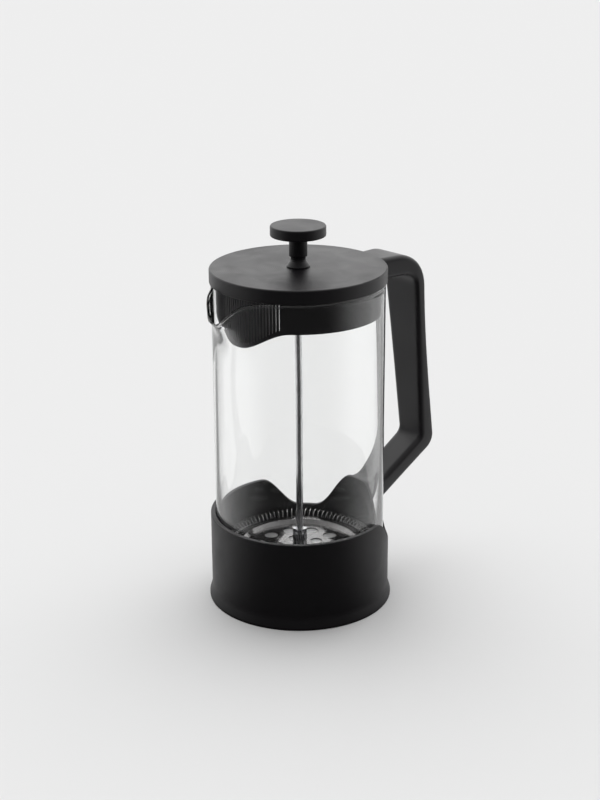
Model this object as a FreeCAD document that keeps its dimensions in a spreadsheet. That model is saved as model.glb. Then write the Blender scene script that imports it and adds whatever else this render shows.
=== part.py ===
import FreeCAD, Part
import math
import os
import re

import Sketcher

# French press, millimetres, +Z up.  The axis of the glass beaker is Z and the table is z = 0.
# The handle points along +X and the pouring spout along -X.

os.makedirs("parts", exist_ok=True)
doc = FreeCAD.newDocument("FrenchPress")
Vector = FreeCAD.Vector

# ---------------------------------------------------------------- driving dimensions
# Every size that can be chosen by itself is written here once.
SIZES = {
    # glass beaker
    "glass_radius": 50.0,          # outside radius of the straight wall
    "glass_wall": 2.0,
    "glass_floor": 2.6,
    "glass_height": 192.2,         # from the cup's floor to the rim
    "glass_heel": 6.0,             # outside rounding at the bottom
    "spout_reach": 14.55,          # how far the beak stands out of the wall
    "spout_drop": 12.35,           # how far the beak's tip lies below the rim
    "spout_rise": 45.0,            # height over which the wall swells into the beak
    "spout_half_angle": 70.0,
    "spout_lip_angle": 40.9,
    "swell_spread": 5.23,          # how sharply the beak narrows round the wall
    "swell_climb": 2.4,            # how sharply the wall turns out into the beak
    "lip_spread": 8.0,             # how sharply the rim dips into the beak
    # cup that holds the beaker
    "cup_gap": 0.4,                # radial clearance round the glass
    "cup_wall": 2.8,
    "cup_floor": 3.2,
    "cup_corner": 3.0,             # inside rounding between wall and floor
    "foot_flare": 1.6,
    "foot_lip": 1.4,
    "foot_height": 7.0,
    "foot_blend": 9.0,
    "foot_edge": 0.4,
    "rim_front": 53.4,             # rim heights round the cup, above the table
    "rim_crest": 53.9,
    "rim_valley": 35.3,
    "rim_lobe": 59.0,
    "lobe_end": 6.5,               # degrees from the handle where each stretch of the rim ends
    "valley_start": 35.0,
    "valley_end": 46.5,
    "crest_start": 74.0,
    "crest_end": 84.0,
    "front_start": 150.0,
    "rim_edge": 0.5,               # rounding of the rim's edges
    # handle
    "handle_width_foot": 16.0,     # the strap's sides lean out from the table upwards
    "handle_width_top": 29.0,
    "handle_edge": 3.1,            # rounding along the strap
    "handle_rise": 4.0,            # top of the strap above the glass rim
    "handle_drop": 1.5,            # slope of the top arm
    "grip_reach": 56.6,            # from the cup's wall to the lower outer corner
    "grip_lean": 16.6,             # how far the grip leans back to the beaker at its top
    "bow_outside": 760.0,          # radii of the grip's slight bow towards the beaker
    "bow_inside": 880.0,
    "grip_low": 70.2,              # height of the lower outer corner
    "grip_thick": 7.0,             # at its top
    "root_low": 39.4,              # underside of the lower arm at the cup
    "root_high": 57.6,
    "root_long": 10.0,             # straight top of the lower arm
    "root_blend": 18.0,
    "grip_taper": 5.3,             # extra thickness of the grip at its foot
    "grip_inside_rise": 6.4,       # lower inner corner above the outer one
    "top_arm_thick": 13.2,
    "corner_top": 23.0,
    "corner_low": 9.0,
    "corner_inside": 9.5,
    "corner_inside_low": 5.5,
    "saddle_gap": 0.6,             # between the lid's rim and the handle's end
    # lid
    "lid_overhang": 1.1,           # the lid's edge beyond the glass
    "lid_thick": 8.05,
    "lid_gap": 0.2,                # between the glass rim and the lid's seat
    "lid_plate": 2.3,
    "lid_edge": 0.9,
    "lid_low_edge": 0.5,
    "lid_boss": 9.0,
    "lid_boss_deep": 3.4,
    "lid_boss_root": 1.2,
    "skirt_gap": 0.7,              # between the skirt and the inside of the glass
    "skirt_wall": 1.6,
    "skirt_deep": 17.9,            # below the lid's seat
    "tongue_deep": 29.0,
    "tongue_half_angle": 41.0,
    "snap_bead": 0.35,
    "snap_level": 1.6,             # foot of the snap bead above the lid's seat
    "snap_lead": 0.4,
    "snap_high": 1.0,
    "snap_gap": 0.1,
    "slot_width": 0.5,
    "slot_pitch": 2.3,             # degrees
    "slot_margin": 2.6,
    "slot_top": 1.2,
    # guide bush in the middle of the lid
    "guide_shank": 5.0,
    "guide_flange": 6.75,
    "guide_tip": 4.4,
    "guide_rise": 4.45,
    "guide_tail": 11.0,
    "guide_barb": 0.6,
    "guide_collar": 0.6,           # straight edge of the flange
    "guide_crest": 0.9,            # straight tip of the cone
    "guide_slit": 0.9,
    "turn_gap": 0.06,              # running clearance of turning and sliding fits
    # plunger
    "rod_radius": 2.0,
    "knob_radius": 16.0,
    "knob_thick": 6.1,
    "knob_edge": 0.8,
    "knob_neck": 5.25,
    "knob_neck_high": 12.2,
    "knob_step": 4.3,
    "knob_step_high": 1.4,
    "neck_chamfer": 0.7,
    "neck_root": 1.0,
    "insert_radius": 3.4,
    "insert_long": 11.0,
    "insert_inset": 1.0,
    "insert_groove": 0.5,
    "rod_chamfer": 0.4,
    # filter
    "filter_level": 27.8,          # underside of the spring plate above the table
    "plate_thick": 0.6,
    "plate_step": 2.4,
    "flange_width": 6.4,
    "eyelet_margin": 2.3,          # from the eyelets' centres to the plate's edge
    "inner_hole_ring": 14.0,
    "inner_hole": 3.6,
    "outer_hole_inset": 9.5,       # from the edge of the plate's flat
    "outer_hole": 4.2,
    "eyelet_gap": 0.4,             # round the wire in its eyelet
    "coil_gap": 0.3,               # between the coil and the glass
    "coil_radius": 4.1,
    "wire_radius": 0.4,
    "mesh_thick": 0.3,
    "mesh_gap": 0.5,               # between the screen's edge and the glass
    "mesh_dish": 4.0,              # width of the slope outside the plate's flat
    "mesh_edge": 1.6,              # height of the turned-up edge
    "cross_thick": 0.8,
    "cross_inset": 0.5,            # inside the edge of the plate's flat
    "cross_rim": 5.0,
    "cross_hub": 9.0,
    "cross_window": 22.0,          # width of a window at the rim
    "cross_window_hub": 5.2,       # and at the hub
    "collar_radius": 4.2,
    "collar_long": 10.2,
    "crown_high": 2.6,
    "crown_core": 3.0,
    "crown_lobe": 1.76,
    "crown_lobe_ring": 2.52,
    "nut_radius": 4.5,
    "nut_high": 4.0,
}

# Places and radii that follow from the sizes above.
DERIVED = {
    "glass_bore": "glass_radius - glass_wall",
    "rim_level": "cup_floor + glass_height",
    "cup_bore": "glass_radius + cup_gap",
    "cup_outer": "cup_bore + cup_wall",
    "lid_base": "rim_level + lid_gap",
    "lid_radius": "glass_radius + lid_overhang",
    "lid_top": "lid_base + lid_thick",
    "lid_under": "lid_top - lid_plate",
    "skirt_outer": "glass_bore - skirt_gap",
    "skirt_inner": "skirt_outer - skirt_wall",
    "snap_bore": "skirt_outer + snap_gap",
    "snap_base": "lid_base + snap_level",
    "snap_crest": "snap_base + snap_lead",
    "snap_shoulder": "snap_crest + snap_high",
    "snap_end": "snap_shoulder + snap_lead",
    "guide_bore": "rod_radius + turn_gap",
    "flange_seat": "lid_top + turn_gap",
    "boss_base": "lid_under - lid_boss_deep",
    "guide_top": "lid_top + guide_rise",
    "neck_base": "guide_top + knob_step_high",
    "knob_base": "neck_base + knob_neck_high",
    "knob_top": "knob_base + knob_thick",
    "insert_base": "neck_base + insert_inset",
    "insert_top": "insert_base + insert_long",
    "rod_top": "insert_top - 1.5",
    "thread_bore": "rod_radius + turn_gap",
    "plate_top": "filter_level + plate_thick",
    "flange_base": "filter_level + plate_step",
    "coil_level": "flange_base + plate_thick / 2",
    "coil_outer": "glass_bore - coil_gap",
    "coil_centre": "coil_outer - wire_radius - coil_radius",
    "eyelet_ring": "coil_centre - coil_radius",
    "plate_flange": "eyelet_ring + eyelet_margin",
    "plate_flat": "plate_flange - flange_width",
    "outer_hole_ring": "plate_flat - outer_hole_inset",
    "cross_radius": "plate_flat - cross_inset",
    "mesh_base": "filter_level - mesh_thick",
    "coil_bottom": "coil_level - coil_radius - wire_radius",
    "mesh_outer": "glass_bore - mesh_gap",
    "mesh_floor": "coil_bottom - 0.2",
    "cross_base": "mesh_base - cross_thick",
    "nut_base": "cross_base - nut_high",
    "rod_foot": "nut_base + 0.3",
    "collar_top": "plate_top + collar_long",
    "crown_top": "collar_top + crown_high",
    "grip_corner": "cup_outer + grip_reach",
    "grip_inner_low": "grip_corner - grip_thick - grip_taper",
    "grip_inner_top": "grip_outer_top - grip_thick",
    "grip_outer_top": "grip_corner - grip_lean",
    "root_end": "cup_outer + root_long",
    "top_corner": "handle_top - handle_drop",
    "top_corner_inside": "top_corner - top_arm_thick + 0.6",
    "handle_top": "rim_level + handle_rise",
}

COIL_TURNS = 90
CROWN_LOBES = 4
SLOT_COUNT = 30
GUIDE_SLITS = 4

sheet = doc.addObject("Spreadsheet::Sheet", "Sizes")
for row, (alias, number) in enumerate(SIZES.items(), start=1):
    sheet.set(f"A{row}", alias.replace("_", " "))
    sheet.set(f"B{row}", str(number))
    sheet.setAlias(f"B{row}", alias)
doc.recompute()


def bound(text):
    """Turn words of the tables above into an expression on the sheet's cells."""
    def swap(match):
        word = match.group()
        if word in DERIVED:
            return "(" + bound(DERIVED[word]) + ")"
        if word in SIZES:
            return "Sizes." + word
        return word
    return re.sub(r"[a-z][a-z_]*", swap, str(text))


def size(text):
    """Read an expression as a number."""
    return float(sheet.evalExpression(bound(text).replace("Sizes.", "")))


# ---------------------------------------------------------------- helpers
def new_body(name):
    body = doc.addObject("PartDesign::Body", name)
    body.Label = name
    return body


def new_sketch(body, name, role="XZ_Plane"):
    """A sketch on one of the body's own planes."""
    sketch = body.newObject("Sketcher::SketchObject", name)
    plane = [item for item in body.Origin.OriginFeatures if item.Role == role][0]
    sketch.AttachmentSupport = [(plane, "")]
    sketch.MapMode = "FlatFace"
    return sketch


def tie(sketch, kind, first, second, axis, text):
    """Hold a point at a distance from the origin that an expression gives."""
    number = size(text)
    if abs(number) < 1e-9:
        sketch.addConstraint(Sketcher.Constraint("PointOnObject", first, second, axis))
        return
    index = sketch.addConstraint(Sketcher.Constraint(kind, -1, 1, first, second, number))
    sketch.setExpression(f"Constraints[{index}]", bound(text))


def outline(sketch, points):
    """A closed outline with every corner bound to the sheet.

    A corner is (x, y), or (x, y, radius, side) where the edge that leaves it is a shallow arc
    whose centre lies on its left (side 1) or right (side -1).
    """
    places = [Vector(size(point[0]), size(point[1]), 0) for point in points]
    count = len(points)
    held_arcs = []
    for index, point in enumerate(points):
        start = places[index]
        end = places[(index + 1) % count]
        if len(point) == 2:
            sketch.addGeometry(Part.LineSegment(start, end), False)
            continue
        radius = size(point[2])
        chord = end - start
        left = Vector(-chord.y, chord.x, 0).normalize()
        rise = radius - math.sqrt(radius ** 2 - chord.Length ** 2 / 4)
        middle = (start + end) / 2 - left * rise * point[3]
        sketch.addGeometry(Part.Arc(start, middle, end), False)
        held_arcs.append((index, point))
    for index, point in enumerate(points):
        following = (index + 1) % count
        near = 2
        far = 1
        if len(point) == 4 and point[3] < 0:
            near = 1
        if len(points[following]) == 4 and points[following][3] < 0:
            far = 2
        sketch.addConstraint(Sketcher.Constraint("Coincident", index, near, following, far))
    for index, point in enumerate(points):
        first = 2 if len(point) == 4 and point[3] < 0 else 1
        tie(sketch, "DistanceX", index, first, -2, point[0])
        tie(sketch, "DistanceY", index, first, -1, point[1])
    for index, point in held_arcs:
        held = sketch.addConstraint(Sketcher.Constraint("Radius", index, size(point[2])))
        sketch.setExpression(f"Constraints[{held}]", bound(point[2]))


def circle(sketch, x, y, radius):
    index = sketch.addGeometry(Part.Circle(Vector(size(x), size(y), 0), Vector(0, 0, 1), size(radius)))
    tie(sketch, "DistanceX", index, 3, -2, x)
    tie(sketch, "DistanceY", index, 3, -1, y)
    held = sketch.addConstraint(Sketcher.Constraint("Radius", index, size(radius)))
    sketch.setExpression(f"Constraints[{held}]", bound(radius))


def turned(name, points):
    """A body turned about Z from its outline in the XZ plane."""
    body = new_body(name)
    sketch = new_sketch(body, name + "_outline")
    outline(sketch, points)
    doc.recompute()
    turn = body.newObject("PartDesign::Revolution", name + "_turn")
    turn.Profile = sketch
    turn.ReferenceAxis = (sketch, ["V_Axis"])
    turn.Angle = 360
    doc.recompute()
    return body


def rounded(body, name, radius, spots):
    """Fillet the turned edges that pass through the given (radius, height) spots."""
    wanted = [(size(r), size(z)) for r, z in spots]
    names = []
    for index, edge in enumerate(body.Tip.Shape.Edges, start=1):
        curve = edge.Curve
        if not isinstance(curve, Part.Circle):
            continue
        for r, z in wanted:
            if abs(curve.Radius - r) < 1e-4 and abs(curve.Center.z - z) < 1e-4:
                names.append(f"Edge{index}")
    before = body.Tip
    fillet = body.newObject("PartDesign::Fillet", name)
    fillet.Base = (before, names)
    fillet.setExpression("Radius", bound(radius))
    doc.recompute()
    return fillet


def carve(body, name, sketch, length):
    """Pocket a sketch both ways through the body."""
    pocket = body.newObject("PartDesign::Pocket", name)
    pocket.Profile = sketch
    pocket.Type = "Length"
    pocket.Midplane = True
    pocket.setExpression("Length", bound(length))
    doc.recompute()
    return pocket


def repeat_round(body, name, feature, count):
    """Repeat a feature round Z."""
    pattern = body.newObject("PartDesign::PolarPattern", name)
    pattern.Originals = [feature]
    axis = [item for item in body.Origin.OriginFeatures if item.Role == "Z_Axis"][0]
    pattern.Axis = (axis, [""])
    pattern.Angle = 360
    pattern.Occurrences = count
    body.Tip = pattern
    doc.recompute()
    return pattern


def cut(name, base, tool):
    result = doc.addObject("Part::Cut", name)
    result.Label = name
    result.Base = base
    result.Tool = tool
    doc.recompute()
    return result


def shape_feature(name, shape):
    feature = doc.addObject("Part::Feature", name)
    feature.Label = name
    feature.Shape = shape
    feature.Placement = FreeCAD.Placement()
    return feature


def blend(angle, start, end):
    """0 before start, 1 after end and a cosine between them."""
    share = min(max((angle - start) / (end - start), 0.0), 1.0)
    return 0.5 - 0.5 * math.cos(math.pi * share)


def ring_curve(radius_at, height_at, steps=120):
    """A closed smooth curve round Z."""
    points = []
    for step in range(steps):
        angle = 360.0 * step / steps
        radius = radius_at(angle)
        turn = math.radians(angle)
        points.append(Vector(radius * math.cos(turn), radius * math.sin(turn), height_at(angle)))
    curve = Part.BSplineCurve()
    curve.interpolate(points, PeriodicFlag=True)
    return Part.Wire([curve.toShape()])


def above_wave(inner, outer, height_at, reach):
    """A ring of material that lies above a wavy edge, used to trim a wall."""
    low = ring_curve(lambda angle: inner, height_at)
    high = ring_curve(lambda angle: outer, height_at)
    band = Part.makeRuledSurface(low, high)
    return band.extrude(Vector(0, 0, reach))


def from_handle(angle):
    """Angle away from the handle, 0 to 180 degrees."""
    return abs((angle + 180.0) % 360.0 - 180.0)


def from_spout(angle):
    return 180.0 - from_handle(angle)


# ---------------------------------------------------------------- base cup
# Moulded cup with a flared foot.  Its rim rises in a lobe behind the handle, dips on both
# sides of it and rises again to the front wall.
def cup_rim(angle):
    away = from_handle(angle)
    height = size("rim_lobe")
    height += size("rim_valley - rim_lobe") * blend(away, size("lobe_end"), size("valley_start"))
    height += size("rim_crest - rim_valley") * blend(away, size("valley_end"), size("crest_start"))
    height += size("rim_front - rim_crest") * blend(away, size("crest_end"), size("front_start"))
    return height


cup = turned("cup_turned", (
    ("0", "0"),
    ("cup_outer + foot_flare", "0"),
    ("cup_outer + foot_flare", "foot_lip"),
    ("cup_outer", "foot_height"),
    ("cup_outer", "rim_lobe + 2"),
    ("cup_bore", "rim_lobe + 2"),
    ("cup_bore", "cup_floor"),
    ("0", "cup_floor"),
))
rounded(cup, "cup_foot_blend", "foot_blend", (("cup_outer", "foot_height"),))
rounded(cup, "cup_inside_corner", "cup_corner", (("cup_bore", "cup_floor"),))
rounded(cup, "cup_foot_edge", "foot_edge", (
    ("cup_outer + foot_flare", "0"),
    ("cup_outer + foot_flare", "foot_lip"),
))
cup_trim = shape_feature("cup_trim", above_wave(
    size("cup_bore - 4"), size("cup_outer + 4"), cup_rim, size("rim_lobe")))
cup_waved = cut("cup_waved", cup, cup_trim)
cup_rounding = doc.addObject("Part::Fillet", "base_cup")
cup_rounding.Label = "base_cup"
cup_rounding.Base = cup_waved
rim_edges = []
for number, edge in enumerate(cup_waved.Shape.Edges, start=1):
    if isinstance(edge.Curve, Part.BSplineCurve) and edge.BoundBox.ZLength > 5 and edge.Length > 100:
        rim_edges.append((number, size("rim_edge"), size("rim_edge")))
cup_rounding.Edges = rim_edges
doc.recompute()


# ---------------------------------------------------------------- glass beaker
# Blown borosilicate beaker: straight wall, rounded heel and a beak pulled out of the rim.
def spout_swell(angle, height):
    """How far the wall stands out at an angle and a height."""
    away = from_spout(angle)
    if away >= size("spout_half_angle"):
        return 0.0
    across = (0.5 + 0.5 * math.cos(math.pi * away / size("spout_half_angle"))) ** size("swell_spread")
    tip_level = size("rim_level - spout_drop")
    rise = size("spout_rise")
    share = min(max((height - (tip_level - rise)) / rise, 0.0), 1.0)
    return size("spout_reach") * across * share ** size("swell_climb")


def glass_rim(angle):
    away = from_spout(angle)
    dip = 0.0
    if away < size("spout_lip_angle"):
        dip = (0.5 + 0.5 * math.cos(math.pi * away / size("spout_lip_angle"))) ** size("lip_spread")
    return size("rim_level") - size("spout_drop") * dip


def beaker_form(radius, base, heel):
    """Closed solid with the beaker's outline at one side of the wall."""
    spout_root = size("rim_level - spout_drop - spout_rise")
    step_high = size("spout_rise") / 8
    steps = math.ceil((size("rim_level") + 4.0 - spout_root) / step_high)
    levels = [spout_root + step_high * step for step in range(1, steps + 1)]
    root = ring_curve(lambda angle: radius, lambda angle: spout_root)
    barrel = Part.Face(root).extrude(Vector(0, 0, base - spout_root))
    heel_edges = [edge for edge in barrel.Edges if abs(edge.BoundBox.ZMax - base) < 1e-3]
    barrel = barrel.makeFillet(heel, heel_edges)
    sections = [root]
    for level in levels:
        sections.append(ring_curve(
            lambda angle, at=level: radius + spout_swell(angle, at), lambda angle, at=level: at))
    top = Part.makeLoft(sections, True, False)
    return barrel.fuse(top)


glass_outside = beaker_form(size("glass_radius"), size("cup_floor"), size("glass_heel"))
glass_inside = beaker_form(size("glass_bore"), size("cup_floor + glass_floor"),
                           size("glass_heel - glass_wall + 0.6"))
glass_solid = glass_outside.cut(glass_inside)
rim_trim = above_wave(size("glass_bore - 8"), size("glass_radius + spout_reach + 12"), glass_rim, 60.0)
glass = shape_feature("glass_beaker", glass_solid.cut(rim_trim))


# ---------------------------------------------------------------- handle
# Solid strap that leaves the lobe of the cup, turns up into the grip and ends in a short top
# arm with a hollow end that stands clear of the lid.
handle_body = new_body("handle_strap")
handle_sketch = new_sketch(handle_body, "handle_outline")
outline(handle_sketch, (
    ("cup_bore", "root_low - 2"),
    ("grip_corner", "grip_low", "bow_outside", -1),
    ("grip_outer_top", "top_corner"),
    ("cup_bore - 1", "handle_top"),
    ("cup_bore - 1", "handle_top - top_arm_thick"),
    ("grip_inner_top", "top_corner_inside", "bow_inside", 1),
    ("grip_inner_low", "grip_low + grip_inside_rise"),
    ("root_end", "root_high"),
    ("cup_bore", "root_high"),
))
handle_pad = handle_body.newObject("PartDesign::Pad", "handle_pad")
handle_pad.Profile = handle_sketch
handle_pad.Midplane = True
handle_pad.setExpression("Length", bound("2 * handle_width_top"))
doc.recompute()


def strap_corner(name, radius, x, z):
    """Round the strap's bend that lies at one corner of the outline."""
    names = []
    for index, edge in enumerate(handle_body.Tip.Shape.Edges, start=1):
        box = edge.BoundBox
        if abs(box.Center.x - size(x)) < 1e-3 and abs(box.Center.z - size(z)) < 1e-3:
            if box.YLength > size("2 * handle_width_top") - 0.01:
                names.append(f"Edge{index}")
    before = handle_body.Tip
    fillet = handle_body.newObject("PartDesign::Fillet", name)
    fillet.Base = (before, names)
    fillet.setExpression("Radius", bound(radius))
    doc.recompute()


strap_corner("bend_low", "corner_low", "grip_corner", "grip_low")
strap_corner("bend_top", "corner_top", "grip_outer_top", "top_corner")
strap_corner("bend_inside_top", "corner_inside", "grip_inner_top", "top_corner_inside")
strap_corner("bend_inside_low", "corner_inside_low", "grip_inner_low", "grip_low + grip_inside_rise")
strap_corner("root_bend", "root_blend", "root_end", "root_high")


# The strap widens upwards between two leaning sides.
wedge = new_body("handle_wedge")
wedge_sketch = new_sketch(wedge, "handle_wedge_outline", "YZ_Plane")
outline(wedge_sketch, (
    ("-handle_width_foot / 2", "0"),
    ("handle_width_foot / 2", "0"),
    ("handle_width_top / 2", "handle_top + 1"),
    ("-handle_width_top / 2", "handle_top + 1"),
))
wedge_pad = wedge.newObject("PartDesign::Pad", "handle_wedge_pad")
wedge_pad.Profile = wedge_sketch
wedge_pad.Midplane = True
wedge_pad.setExpression("Length", bound("4 * handle_top"))
tapered = doc.addObject("Part::MultiCommon", "handle_tapered")
tapered.Shapes = [handle_body, wedge]
doc.recompute()


def faces_across(shape, edge):
    """How many of an edge's faces look sideways out of the strap."""
    count = 0
    for face in shape.ancestorsOfType(edge, Part.Face):
        low_u, high_u, low_v, high_v = face.ParameterRange
        if abs(face.normalAt((low_u + high_u) / 2, (low_v + high_v) / 2).y) > 0.8:
            count += 1
    return count


strap = doc.addObject("Part::Fillet", "handle_edges")
strap.Base = tapered
strap_edges = []
for number, edge in enumerate(tapered.Shape.Edges, start=1):
    outside_cup = edge.BoundBox.XMax > size("cup_outer + 1")
    if outside_cup and faces_across(tapered.Shape, edge) == 1:
        strap_edges.append((number, size("handle_edge"), size("handle_edge")))
strap.Edges = strap_edges
doc.recompute()

root_cutter = doc.addObject("Part::Cylinder", "root_cutter")
root_cutter.setExpression("Radius", bound("cup_outer"))
root_cutter.setExpression("Height", bound("handle_top / 2"))
saddle_cutter = doc.addObject("Part::Cylinder", "saddle_cutter")
saddle_cutter.setExpression("Radius", bound("lid_radius + saddle_gap"))
saddle_cutter.setExpression("Height", bound("handle_top"))
saddle_cutter.setExpression("Placement.Base.z", bound("handle_top / 2"))
handle_rooted = cut("handle_rooted", strap, root_cutter)
handle = cut("handle", handle_rooted, saddle_cutter)


# ---------------------------------------------------------------- lid cover
# Round cap with a flat top, a seat band that rests on the glass rim and a bored boss.
cover = turned("lid_cover", (
    ("guide_shank + turn_gap", "lid_top"),
    ("lid_radius", "lid_top"),
    ("lid_radius", "lid_base"),
    ("snap_bore", "lid_base"),
    ("snap_bore", "snap_base"),
    ("snap_bore + snap_bead", "snap_crest"),
    ("snap_bore + snap_bead", "snap_shoulder"),
    ("snap_bore", "snap_end"),
    ("snap_bore", "lid_under"),
    ("lid_boss", "lid_under"),
    ("lid_boss", "boss_base"),
    ("guide_shank + turn_gap", "boss_base"),
))
rounded(cover, "cover_top_edge", "lid_edge", (("lid_radius", "lid_top"),))
rounded(cover, "cover_low_edge", "lid_low_edge", (("lid_radius", "lid_base"),))
rounded(cover, "cover_boss_root", "lid_boss_root", (("lid_boss", "lid_under"),))


# ---------------------------------------------------------------- lid strainer
# Ring that clips up into the cover and hangs inside the glass.  Below the beak it is longer
# and slotted, so it strains the coffee as it pours.
def strainer_edge(angle):
    deep = size("tongue_deep")
    shallow = size("skirt_deep")
    rise = blend(from_spout(angle), 2.0, size("tongue_half_angle"))
    return size("lid_base") - deep + (deep - shallow) * rise


strainer_ring = turned("strainer_ring", (
    ("skirt_inner", "lid_base - tongue_deep - 3"),
    ("skirt_outer", "lid_base - tongue_deep - 3"),
    ("skirt_outer", "snap_base"),
    ("skirt_outer + snap_bead", "snap_crest"),
    ("skirt_outer + snap_bead", "snap_shoulder"),
    ("skirt_outer", "snap_end"),
    ("skirt_outer", "lid_under - snap_gap"),
    ("skirt_inner", "lid_under - snap_gap"),
))
below_tongue = above_wave(size("skirt_inner - 4"), size("skirt_outer + 4"), strainer_edge, -40.0)
strainer_trim = shape_feature("strainer_trim", below_tongue)
strainer_waved = cut("strainer_waved", strainer_ring, strainer_trim)

slots = []
for index in range(SLOT_COUNT):
    offset = (index - (SLOT_COUNT - 1) / 2.0) * size("slot_pitch")
    low = strainer_edge(180.0 + offset) + size("slot_margin")
    high = size("lid_base - slot_top")
    slot = Part.makeBox(6.0, size("slot_width"), high - low,
                        Vector(size("skirt_inner - 2"), -size("slot_width / 2"), low))
    slot.rotate(Vector(0, 0, 0), Vector(0, 0, 1), 180.0 + offset)
    slots.append(slot)
strainer_slots = shape_feature("strainer_slots", Part.makeCompound(slots))
strainer = cut("lid_strainer", strainer_waved, strainer_slots)


# ---------------------------------------------------------------- lid guide
# Bush for the rod: a cone above the lid, a shank in the boss and slit barbs below it.
guide = turned("lid_guide", (
    ("guide_bore", "guide_top"),
    ("guide_tip", "guide_top"),
    ("guide_tip + 0.3", "guide_top - guide_crest"),
    ("guide_flange", "flange_seat + guide_collar"),
    ("guide_flange", "flange_seat"),
    ("guide_shank", "flange_seat"),
    ("guide_shank", "boss_base - 0.1"),
    ("guide_shank + guide_barb", "boss_base - 0.1"),
    ("guide_shank + guide_barb", "boss_base - 0.7"),
    ("guide_shank - 0.6", "lid_top - guide_tail"),
    ("guide_bore", "lid_top - guide_tail"),
))
slit_sketch = new_sketch(guide, "guide_slit_sketch", "XZ_Plane")
outline(slit_sketch, (
    ("-guide_slit / 2", "lid_top - guide_tail - 2"),
    ("guide_slit / 2", "lid_top - guide_tail - 2"),
    ("guide_slit / 2", "boss_base + 1.5"),
    ("-guide_slit / 2", "boss_base + 1.5"),
))
doc.recompute()
slit = carve(guide, "guide_slits", slit_sketch, length="4 * guide_flange")
repeat_round(guide, "guide_slit_round", slit, GUIDE_SLITS)


# ---------------------------------------------------------------- knob and insert
# Flat round knob on a slim neck, moulded round a threaded brass insert.
knob = turned("knob", (
    ("rod_radius + 0.3", "guide_top"),
    ("knob_step", "guide_top"),
    ("knob_step", "neck_base"),
    ("knob_neck - neck_chamfer", "neck_base"),
    ("knob_neck", "neck_base + neck_chamfer"),
    ("knob_neck", "knob_base"),
    ("knob_radius", "knob_base"),
    ("knob_radius", "knob_top"),
    ("0", "knob_top"),
    ("0", "insert_top"),
    ("insert_radius", "insert_top"),
    ("insert_radius", "insert_base"),
    ("rod_radius + 0.3", "insert_base"),
))
rounded(knob, "knob_edges", "knob_edge", (("knob_radius", "knob_base"), ("knob_radius", "knob_top")))
rounded(knob, "knob_neck_root", "neck_root", (("knob_neck", "knob_base"),))
turned("knob_insert", (
    ("thread_bore", "insert_base"),
    ("insert_radius", "insert_base"),
    ("insert_radius", "insert_base + insert_long * 0.27"),
    ("insert_radius - insert_groove", "insert_base + insert_long * 0.31"),
    ("insert_radius - insert_groove", "insert_base + insert_long * 0.42"),
    ("insert_radius", "insert_base + insert_long * 0.46"),
    ("insert_radius", "insert_top"),
    ("thread_bore", "insert_top"),
))


# ---------------------------------------------------------------- plunger rod
turned("plunger_rod", (
    ("0", "rod_foot"),
    ("rod_radius - rod_chamfer", "rod_foot"),
    ("rod_radius", "rod_foot + rod_chamfer"),
    ("rod_radius", "rod_top - rod_chamfer"),
    ("rod_radius - rod_chamfer", "rod_top"),
    ("0", "rod_top"),
))


# ---------------------------------------------------------------- filter
# Spring plate: pressed disc with a raised flange.  The coil is threaded through the ring of
# small eyelets in the flange, and two rings of holes let the coffee through.
plate = turned("spring_plate", (
    ("thread_bore", "filter_level"),
    ("plate_flat", "filter_level"),
    ("plate_flat + 2", "flange_base"),
    ("plate_flange", "flange_base"),
    ("plate_flange", "flange_base + plate_thick"),
    ("plate_flat + 1.6", "flange_base + plate_thick"),
    ("plate_flat - 0.4", "plate_top"),
    ("thread_bore", "plate_top"),
))
for ring_name, ring_radius, hole_radius, hole_count in (
    ("inner_holes", "inner_hole_ring", "inner_hole", 6),
    ("outer_holes", "outer_hole_ring", "outer_hole", 12),
    ("eyelets", "eyelet_ring", "wire_radius + eyelet_gap", COIL_TURNS),
):
    hole_sketch = new_sketch(plate, ring_name + "_sketch", "XY_Plane")
    circle(hole_sketch, ring_radius, "0", hole_radius)
    doc.recompute()
    hole = carve(plate, ring_name, hole_sketch, length="4 * filter_level")
    repeat_round(plate, ring_name + "_round", hole, hole_count)


def coil_frame(wind):
    """Centre of the wire and the two directions across it, at a winding angle in radians."""
    round_z = wind / COIL_TURNS
    outward = Vector(math.cos(round_z), math.sin(round_z), 0)
    along = Vector(-math.sin(round_z), math.cos(round_z), 0)
    across = outward * -math.cos(wind) + Vector(0, 0, math.sin(wind))
    hub = outward * size("coil_centre") + Vector(0, 0, size("coil_level"))
    centre = hub + across * size("coil_radius")
    advance = size("coil_centre") / COIL_TURNS
    tangent = outward * math.sin(wind) + Vector(0, 0, math.cos(wind))
    tangent = tangent * size("coil_radius") + along * advance
    return centre, across, tangent.normalize().cross(across)


def one_turn(steps=12, sides=8):
    """The side face of one turn of the wire.  Its two ends are congruent."""
    grid = []
    for step in range(steps + 1):
        centre, first, second = coil_frame(math.pi + 2.0 * math.pi * step / steps)
        ring = []
        for side in range(sides + 1):
            turn = 2.0 * math.pi * side / sides
            spoke = first * math.cos(turn) + second * math.sin(turn)
            ring.append(centre + spoke * size("wire_radius"))
        grid.append(ring)
    surface = Part.BSplineSurface()
    surface.interpolate(grid)
    return surface.toShape()


# The turns meet end to end and close into one endless wire.
turn_face = one_turn()
coil_faces = []
for index in range(COIL_TURNS):
    copy = turn_face.copy()
    copy.rotate(Vector(0, 0, 0), Vector(0, 0, 1), index * 360.0 / COIL_TURNS)
    coil_faces.append(copy)
coil_shell = Part.Shell(coil_faces)
coil_shell.sewShape()
coil_solid = Part.Solid(coil_shell)
if coil_solid.Volume < 0:
    coil_solid.reverse()
coil = shape_feature("coil_spring", coil_solid)

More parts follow.
